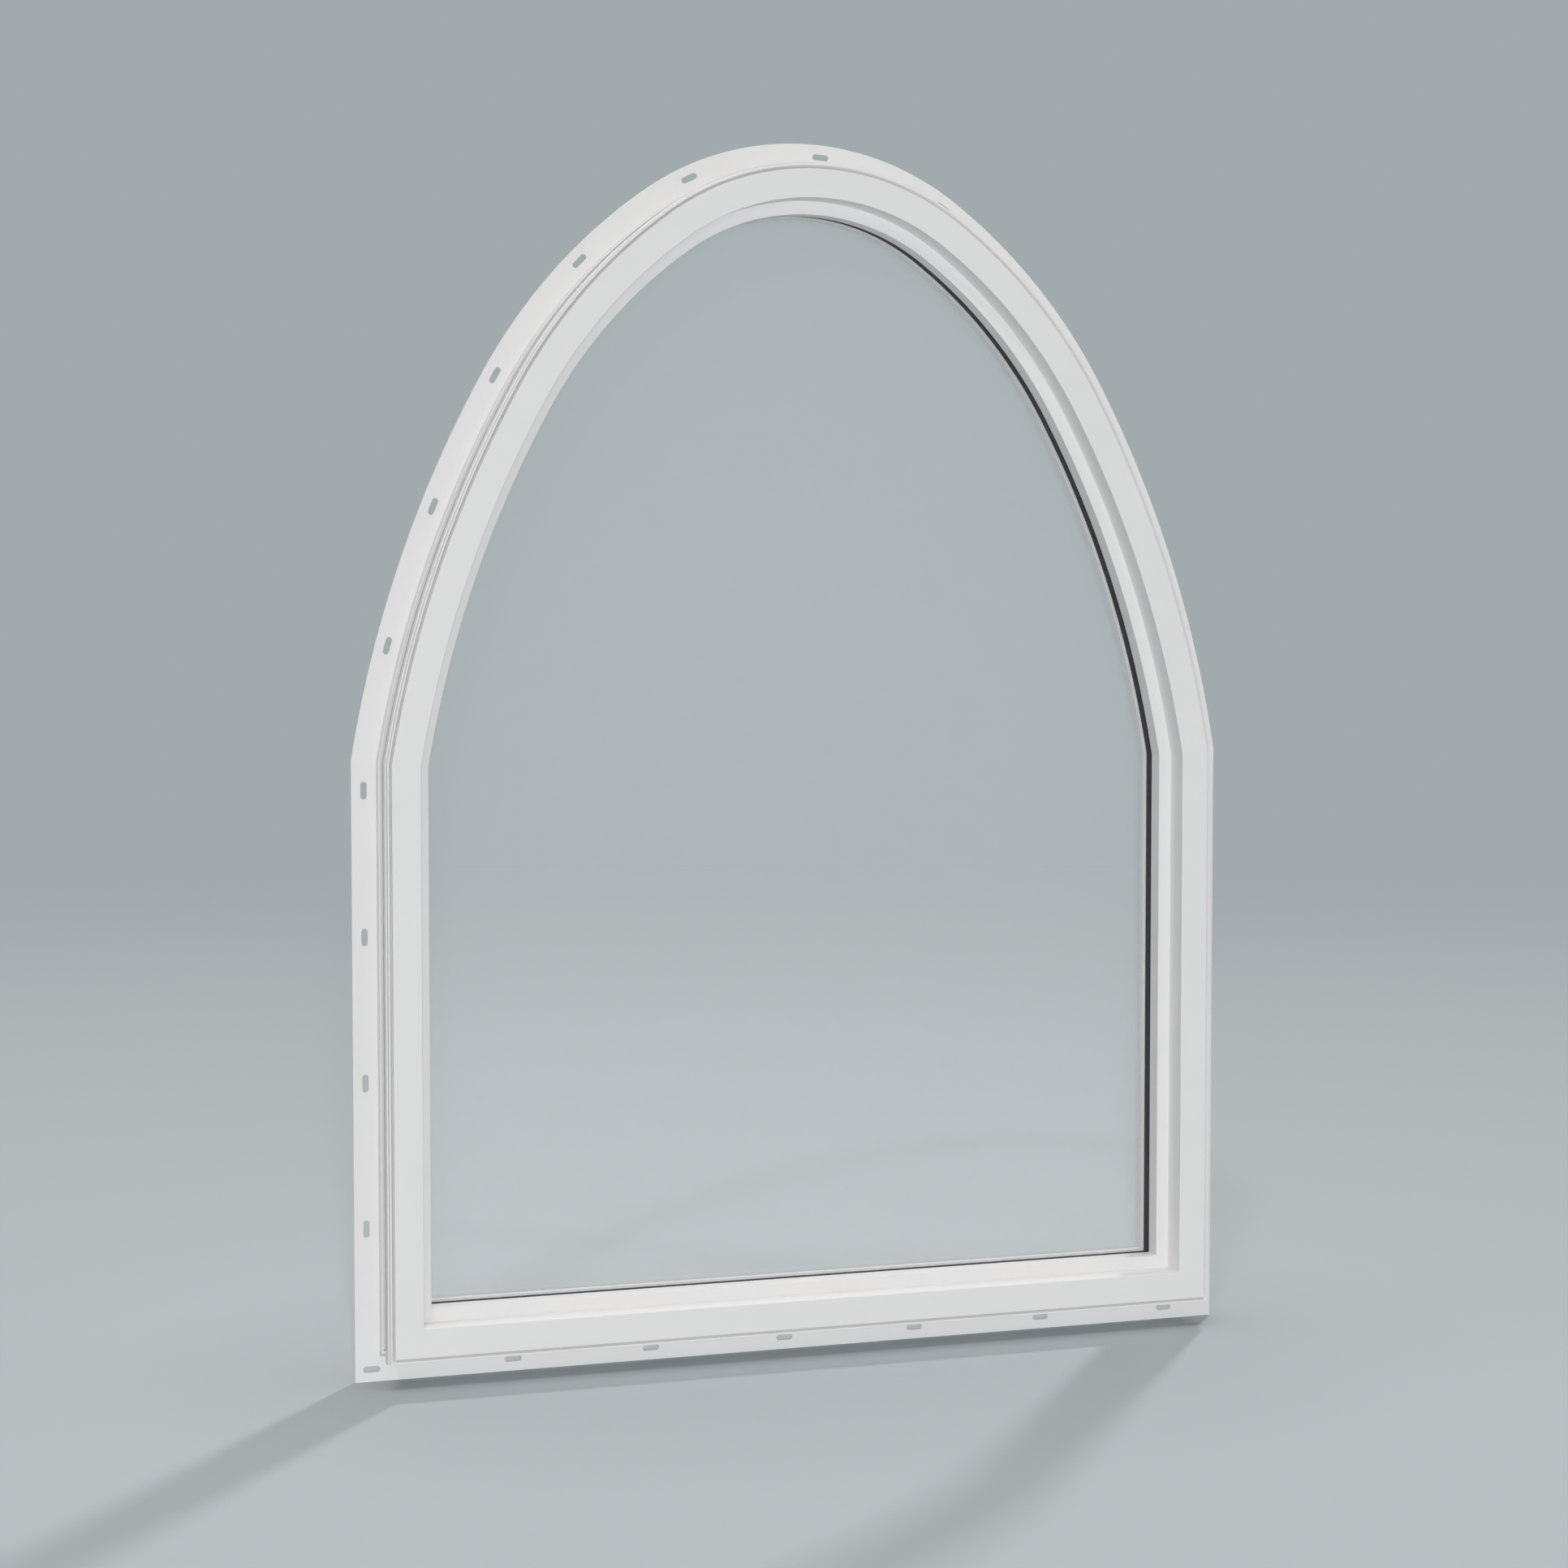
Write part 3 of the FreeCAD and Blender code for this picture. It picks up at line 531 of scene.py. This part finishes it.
def cell_faces(low_edge, high_edge, rim):
    """Quads from a cell's two long edges to the slot's rim, and a triangle at each end.

    All three are numbers of points: the edges by (slot, step) and the rim by (slot, angle).
    """
    step = np.arange(SLOT_STEPS + 1)
    low_rim, high_rim = rim[:, step], rim[:, -step % rim.shape[1]]
    faces = []
    for edge, edge_rim in ((low_edge, low_rim), (high_edge, high_rim)):
        quads = np.stack([edge[:, :-1], edge[:, 1:], edge_rim[:, 1:], edge_rim[:, :-1]], axis=-1)
        faces.append(quads.reshape(-1, 4))
    for end in (0, -1):
        tip = low_rim[:, end]
        faces.append(np.stack([low_edge[:, end], high_edge[:, end], tip, tip], axis=-1))
    return np.concatenate(faces)


def ring_quads(near, far):
    """Values at the corners of the quads between two rings, which are arrays by (slot, angle)."""
    corners = [near, np.roll(near, -1, axis=1), np.roll(far, -1, axis=1), far]
    return np.stack(corners, axis=2).reshape(-1, 4, *near.shape[2:])


def arch_fin(name):
    """The bent fin: a swept section whose flat has a round-ended slot in each slot's cell."""
    slots, bearing_at = arch_slots()
    stations, first_column = fin_stations(slots, bearing_at)
    sweep = sweep_section(FIN_SECTION, arch_path, stations)
    rows, columns = sweep.points.shape[:2]
    front_low, front_high, back_high, back_low = flat_rows(FIN_SECTION)

    corner_rows, corner_columns = grid_corners(rows, columns)
    row, step = corner_rows[:, 0], corner_columns[:, :1] - first_column
    in_cell = np.any((step >= 0) & (step < SLOT_STEPS), axis=1)
    keep = ~(in_cell & ((row == front_low) | (row == back_high)))
    swept = sweep_quads(sweep, corner_rows[keep], corner_columns[keep])
    swept_faces, swept_normals, swept_uvs = swept

    rims, into = slot_rims(slots, bearing_at)
    rim_numbers = np.arange(rims[..., 0].size).reshape(rims.shape[:3])
    front_rim, back_rim = rows * columns + rim_numbers
    cell = first_column[:, None] + np.arange(SLOT_STEPS + 1)
    front = cell_faces(front_low * columns + cell, front_high * columns + cell, front_rim)
    back = cell_faces(back_low * columns + cell, back_high * columns + cell, back_rim)
    walls = ring_quads(front_rim, back_rim)
    front_normals = np.tile([0.0, -1.0, 0.0], (len(front), 4, 1))
    back_normals = np.tile([0.0, 1.0, 0.0], (len(back), 4, 1))

    points = np.concatenate([sweep.points.reshape(-1, 3), rims.reshape(-1, 3)])
    faces = np.concatenate([swept_faces, front, back, walls])
    normals = np.concatenate([swept_normals, front_normals, back_normals, ring_quads(into, into)])
    slot_uvs = np.zeros((len(faces) - len(swept_faces), 4, 2))
    uvs = np.concatenate([swept_uvs, slot_uvs])
    return build_piece(name, points, faces, normals, uvs, end_caps(rows, columns))


# Materials


def linear(code):
    """Linear RGBA of an sRGB hex colour."""
    channels = [int(code[i:i + 2], 16) / 255 for i in (1, 3, 5)]
    return (*[c / 12.92 if c <= 0.04045 else ((c + 0.055) / 1.055) ** 2.4 for c in channels], 1.0)


def add_node(tree, kind, inputs=(), **settings):
    """Add one node, set its properties, and fill its inputs with values or links."""
    made = tree.nodes.new(kind)
    for name, value in settings.items():
        setattr(made, name, value)
    for name, value in dict(inputs).items():
        if isinstance(value, bpy.types.NodeSocket):
            tree.links.new(value, made.inputs[name])
        else:
            made.inputs[name].default_value = value
    return made


def new_material(name):
    """An empty material and its node tree."""
    material = bpy.data.materials.new(name)
    material.use_nodes = True
    material.node_tree.nodes.clear()
    return material, material.node_tree


def per_metre(millimetres):
    """Texture scale that gives features of this size on coordinates in metres."""
    return 1 / (millimetres * MM)


# Places of the colour sockets on a colour mix
FACTOR, FIRST, SECOND, RESULT = 0, 6, 7, 2


def rigid_pvc(name, light, shade, has_length):
    """Extruded rigid PVC, white with titanium dioxide: an even satin with a soft sheen.

    The die leaves fine lines along the profile, which vary its gloss, and cooling a faint, broad
    unevenness of tone. The real lines are about 0.2 mm apart and are drawn 1.2 mm apart so that they
    show.
    Without length coordinates the lines are drawn as a fine even grain.
    """
    line_gap, line_length, line_depth = 1.2, 500.0, 0.02
    grain_size, mottle_size = 2.5, 60.0
    material, tree = new_material(name)
    spot = add_node(tree, "ShaderNodeTexCoord")
    mottle = add_node(
        tree,
        "ShaderNodeTexNoise",
        {"Vector": spot.outputs["Object"], "Scale": per_metre(mottle_size), "Detail": 3.0},
    )
    if has_length:
        stretch = (per_metre(line_length), per_metre(line_gap), 1.0)
        drawn = add_node(tree, "ShaderNodeMapping", {"Vector": spot.outputs["UV"], "Scale": stretch})
        along = {"Vector": drawn.outputs["Vector"], "Scale": 1.0, "Detail": 2.0}
    else:
        along = {"Vector": spot.outputs["Object"], "Scale": per_metre(grain_size), "Detail": 2.0}
    lines = add_node(tree, "ShaderNodeTexNoise", along)
    tint = add_node(
        tree,
        "ShaderNodeMix",
        {FACTOR: mottle.outputs["Fac"], FIRST: linear(light), SECOND: linear(shade)},
        data_type="RGBA",
    )
    gloss = add_node(
        tree,
        "ShaderNodeMapRange",
        {
            "Value": lines.outputs["Fac"],
            "From Min": 0.3,
            "From Max": 0.7,
            "To Min": 0.36,
            "To Max": 0.46,
        },
    )
    relief = add_node(
        tree,
        "ShaderNodeBump",
        {"Height": lines.outputs["Fac"], "Strength": 0.12, "Distance": line_depth * MM},
    )
    shader = add_node(
        tree,
        "ShaderNodeBsdfPrincipled",
        {
            "Base Color": tint.outputs[RESULT],
            "Roughness": gloss.outputs["Result"],
            "Normal": relief.outputs["Normal"],
            "IOR": 1.53,
        },
    )
    add_node(tree, "ShaderNodeOutputMaterial", {"Surface": shader.outputs[0]})
    return material


def float_glass(name, tint, index, clear):
    """Clear float glass: flat, polished by its own surface, with hardly a tint.

    A coated pane is a little less than clear and lays a pale veil over what is behind it.
    """
    material, tree = new_material(name)
    shader = add_node(
        tree,
        "ShaderNodeBsdfPrincipled",
        {"Base Color": linear(tint), "Roughness": 0.0, "IOR": index, "Transmission Weight": clear},
    )
    add_node(tree, "ShaderNodeOutputMaterial", {"Surface": shader.outputs[0]})
    return material


def black_rubber(name, light, shade, cell, roughness):
    """Black sealing material, foamed or moulded: matte, with a fine pore that breaks its sheen."""
    cloud_size, pore_depth = 8 * cell, 0.1
    material, tree = new_material(name)
    spot = add_node(tree, "ShaderNodeTexCoord")
    pores = add_node(
        tree,
        "ShaderNodeTexVoronoi",
        {"Vector": spot.outputs["Object"], "Scale": per_metre(cell)},
    )
    clouds = add_node(
        tree,
        "ShaderNodeTexNoise",
        {"Vector": spot.outputs["Object"], "Scale": per_metre(cloud_size), "Detail": 4.0},
    )
    tint = add_node(
        tree,
        "ShaderNodeMix",
        {FACTOR: clouds.outputs["Fac"], FIRST: linear(light), SECOND: linear(shade)},
        data_type="RGBA",
    )
    relief = add_node(
        tree,
        "ShaderNodeBump",
        {"Height": pores.outputs["Distance"], "Strength": 0.3, "Distance": pore_depth * MM},
    )
    shader = add_node(
        tree,
        "ShaderNodeBsdfPrincipled",
        {
            "Base Color": tint.outputs[RESULT],
            "Roughness": roughness,
            "Normal": relief.outputs["Normal"],
            "IOR": 1.5,
        },
    )
    add_node(tree, "ShaderNodeOutputMaterial", {"Surface": shader.outputs[0]})
    return material


PVC_PROFILE = rigid_pvc("rigid_pvc_extruded_profile", "#E6E6E5", "#E2E2E2", True)
PVC_FIN = rigid_pvc("rigid_pvc_extruded_fin", "#E5E5E4", "#E1E1E1", False)
OUTER_GLASS = float_glass("float_glass_outer_pane", "#FEFFFF", 1.45, 1.0)
INNER_GLASS = float_glass("float_glass_coated_inner_pane", "#FFFEFF", 1.52, 0.93)
SPACER_FOAM = black_rubber("silicone_foam_spacer", "#101113", "#0B0C0D", 0.5, 0.75)
TAPE_FOAM = black_rubber("polyethylene_foam_tape", "#1C1C1D", "#161617", 0.6, 0.85)
BLOCK_RUBBER = black_rubber("epdm_setting_block", "#1A1A1A", "#121212", 0.8, 0.6)


# Pieces


def dress(node, material):
    """Give a node that stays in view its material."""
    slots = NODES[node].data.materials
    slots.clear()
    slots.append(material)


def stand_for(piece, node, material):
    """Let a new piece take the place of a node."""
    piece.data.materials.append(material)
    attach(piece, "root")
    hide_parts(node)


def member_set(nodes, section, material):
    """Sill, left leg, right leg and arch of one section, each in place of its node."""
    paths = (
        (sill_path, STRAIGHT),
        (leg_path(-1), STRAIGHT),
        (leg_path(1), STRAIGHT),
        (arch_path, arc_stations()),
    )
    for node, (path, stations) in zip(nodes, paths):
        stand_for(swept_member(node + "_profile", section, path, stations), node, material)


def named(kind):
    """The four nodes of one kind, in the order of member_set."""
    return [f"{place}_{kind}" for place in ("sill", "left", "right", "arch")]


member_set(("sill", "left_jamb", "right_jamb", "arched_head"), FRAME_SECTION, PVC_PROFILE)
member_set(named("bead"), BEAD_SECTION, PVC_PROFILE)
member_set(named("spacer"), SPACER_SECTION, SPACER_FOAM)
stand_for(arch_fin("arch_fin_slotted"), "arch_fin", PVC_FIN)
for straight_fin in ("sill_fin", "left_fin", "right_fin"):
    dress(straight_fin, PVC_FIN)
for tape in named("tape"):
    dress(tape, TAPE_FOAM)
for block in ("left_setting_block", "right_setting_block"):
    dress(block, BLOCK_RUBBER)
dress("outer_pane", OUTER_GLASS)
dress("inner_pane", INNER_GLASS)
# Clear glass dims the light behind it too little to show, so lamps shine straight through it
for glass in ("outer_pane", "inner_pane"):
    NODES[glass].visible_shadow = False


# Studio, in metres

BACKDROP = "#A1ABAD"
FLOOR = "#A9B0B3"
SKY = "#FFFDFB"
LAMP = "#FFFDFC"
SKY_STRENGTH = 0.08
FLOOR_GLOW = 1.15
FLOOR_RADIUS = 40.0
FLOOR_FADE = 6.5

# A lamp beside the camera, which lights what faces the viewer and hides its own shadows
FRONT_LAMP_PLACE = (-1.12, -3.25, 0.77)
FRONT_LAMP_RADIUS = 0.05
FRONT_LAMP_LEVEL = 0.44

# Suns as (name, direction towards it, spread in degrees, level). In turn they even out the front
# faces, light what faces up, throw the shadows behind and in front, and light the room side.
SUNS = (
    ("low_front_light", (-0.21, -0.97, 0.09), 10, 0.09),
    ("top_light", (0.0, 0.0, 1.0), 50, 0.66),
    ("high_front_light", (-0.39, -0.64, 0.66), 4, 0.12),
    ("high_back_light", (0.47, 0.60, 0.65), 4, 0.38),
    ("back_light", (0.15, 0.98, 0.12), 40, 0.20),
)

# The photograph's view, solved from the fin's outline
CAMERA_PLACE = (-1.1762, -3.2527, 0.7874)
CAMERA_LOOK = (0.33453, 0.94084, -0.05393)
LENS = 75.33
SENSOR = 36.0


def rays_that_see(tree):
    """1 for rays from the camera, off gloss and through glass, and 0 for scattered light."""
    path = add_node(tree, "ShaderNodeLightPath")
    seen = path.outputs["Is Camera Ray"]
    for ray in ("Is Glossy Ray", "Is Transmission Ray"):
        both = {0: seen, 1: path.outputs[ray]}
        seen = add_node(tree, "ShaderNodeMath", both, operation="MAXIMUM").outputs[0]
    return seen


def floor_paint():
    """Matte floor paint that fades into the backdrop's colour with distance from the object.

    It shows the shadows on it, and throws an even light up at the object.
    """
    material, tree = new_material("matte_floor_paint")
    spot = add_node(tree, "ShaderNodeTexCoord")
    distance = add_node(tree, "ShaderNodeVectorMath", {0: spot.outputs["Object"]}, operation="LENGTH")
    fade = add_node(
        tree,
        "ShaderNodeMapRange",
        {"Value": distance.outputs["Value"], "From Max": FLOOR_FADE},
        interpolation_type="SMOOTHSTEP",
    )
    paint = add_node(tree, "ShaderNodeBsdfDiffuse", {"Color": linear(FLOOR)})
    far = add_node(tree, "ShaderNodeEmission", {"Color": linear(BACKDROP)})
    mix = add_node(
        tree,
        "ShaderNodeMixShader",
        {0: fade.outputs["Result"], 1: paint.outputs[0], 2: far.outputs[0]},
    )
    glow = add_node(tree, "ShaderNodeEmission", {"Color": linear(FLOOR), "Strength": FLOOR_GLOW})
    lit = add_node(
        tree,
        "ShaderNodeMixShader",
        {0: rays_that_see(tree), 1: glow.outputs[0], 2: mix.outputs[0]},
    )
    add_node(tree, "ShaderNodeOutputMaterial", {"Surface": lit.outputs[0]})
    return material


def studio_floor():
    """A round floor: (r cos a, r sin a, 0) for even angles a and rings whose r grows as a square."""
    rings, spokes = 24, 96
    radius = FLOOR_RADIUS * np.linspace(0, 1, rings + 1)[1:, None] ** 2
    angle = np.linspace(0, 2 * math.pi, spokes, endpoint=False)
    x, y = radius * np.cos(angle), radius * np.sin(angle)
    around = np.stack([x, y, np.zeros_like(x)], axis=-1).reshape(-1, 3)
    points = np.concatenate([np.zeros((1, 3)), around])
    spoke = np.arange(spokes)
    following = (spoke + 1) % spokes
    ring_start = 1 + spokes * np.arange(rings - 1)[:, None]
    here, beside = ring_start + spoke, ring_start + following
    quads = np.stack([here, here + spokes, beside + spokes, beside], axis=-1).reshape(-1, 4)
    hub = np.stack([np.zeros_like(spoke), 1 + spoke, 1 + following], axis=1)
    mesh = bpy.data.meshes.new("studio_floor")
    mesh.from_pydata(points.tolist(), [], quads.tolist() + hub.tolist())
    mesh.materials.append(floor_paint())
    floor = put_in_scene("studio_floor", mesh)


def studio_world():
    """Soft white light all round, with the grey backdrop for what is seen directly."""
    world = bpy.data.worlds.new("studio")
    bpy.context.scene.world = world
    world.use_nodes = True
    tree = world.node_tree
    tree.nodes.clear()
    light = add_node(tree, "ShaderNodeBackground", {"Color": linear(SKY), "Strength": SKY_STRENGTH})
    view = add_node(tree, "ShaderNodeBackground", {"Color": linear(BACKDROP), "Strength": 1.0})
    parts = {0: rays_that_see(tree), 1: light.outputs[0], 2: view.outputs[0]}
    mix = add_node(tree, "ShaderNodeMixShader", parts)
    add_node(tree, "ShaderNodeOutputWorld", {"Surface": mix.outputs[0]})


def soft_sun(name, towards, spread, level):
    """Even light from one side. A white face square to it gets this level of the full white.

    A matte face sends back 1 / pi of what falls on it, so the strength is pi times the level.
    """
    lamp = bpy.data.lights.new(name, "SUN")
    lamp.energy = level * math.pi
    lamp.angle = math.radians(spread)
    lamp.color = linear(LAMP)[:3]
    sun = put_in_scene(name, lamp)
    sun.rotation_mode = "QUATERNION"
    sun.rotation_quaternion = Vector(towards).to_track_quat("Z", "Y")
    sun.visible_glossy = False
    sun.visible_transmission = False


def even_lamp(name, place, radius, level):
    """A lamp that is as bright far off as near, with the level measured as for soft_sun.

    Its power is spread over all directions, so it is 4 pi times the strength of such a sun.
    """
    lamp = bpy.data.lights.new(name, "POINT")
    lamp.energy = level * 4 * math.pi ** 2
    lamp.shadow_soft_size = radius
    lamp.color = linear(LAMP)[:3]
    lamp.use_nodes = True
    tree = lamp.node_tree
    tree.nodes.clear()
    reach = add_node(tree, "ShaderNodeLightFalloff", {"Strength": 1.0})
    glow = add_node(tree, "ShaderNodeEmission", {"Strength": reach.outputs["Constant"]})
    add_node(tree, "ShaderNodeOutputLight", {"Surface": glow.outputs[0]})
    bulb = put_in_scene(name, lamp)
    bulb.location = place
    bulb.visible_camera = False
    bulb.visible_glossy = False
    bulb.visible_transmission = False


def photo_camera():
    """The camera at the photograph's place, looking the same way."""
    camera = bpy.data.cameras.new("camera")
    camera.sensor_width = SENSOR
    camera.lens = LENS
    view = put_in_scene("camera", camera)
    view.location = CAMERA_PLACE
    view.rotation_mode = "QUATERNION"
    view.rotation_quaternion = Vector(CAMERA_LOOK).to_track_quat("-Z", "Y")
    bpy.context.scene.camera = view


studio_floor()
studio_world()
even_lamp("front_lamp", FRONT_LAMP_PLACE, FRONT_LAMP_RADIUS, FRONT_LAMP_LEVEL)
for sun_values in SUNS:
    soft_sun(*sun_values)
photo_camera()
bpy.context.scene.view_settings.view_transform = "Standard"
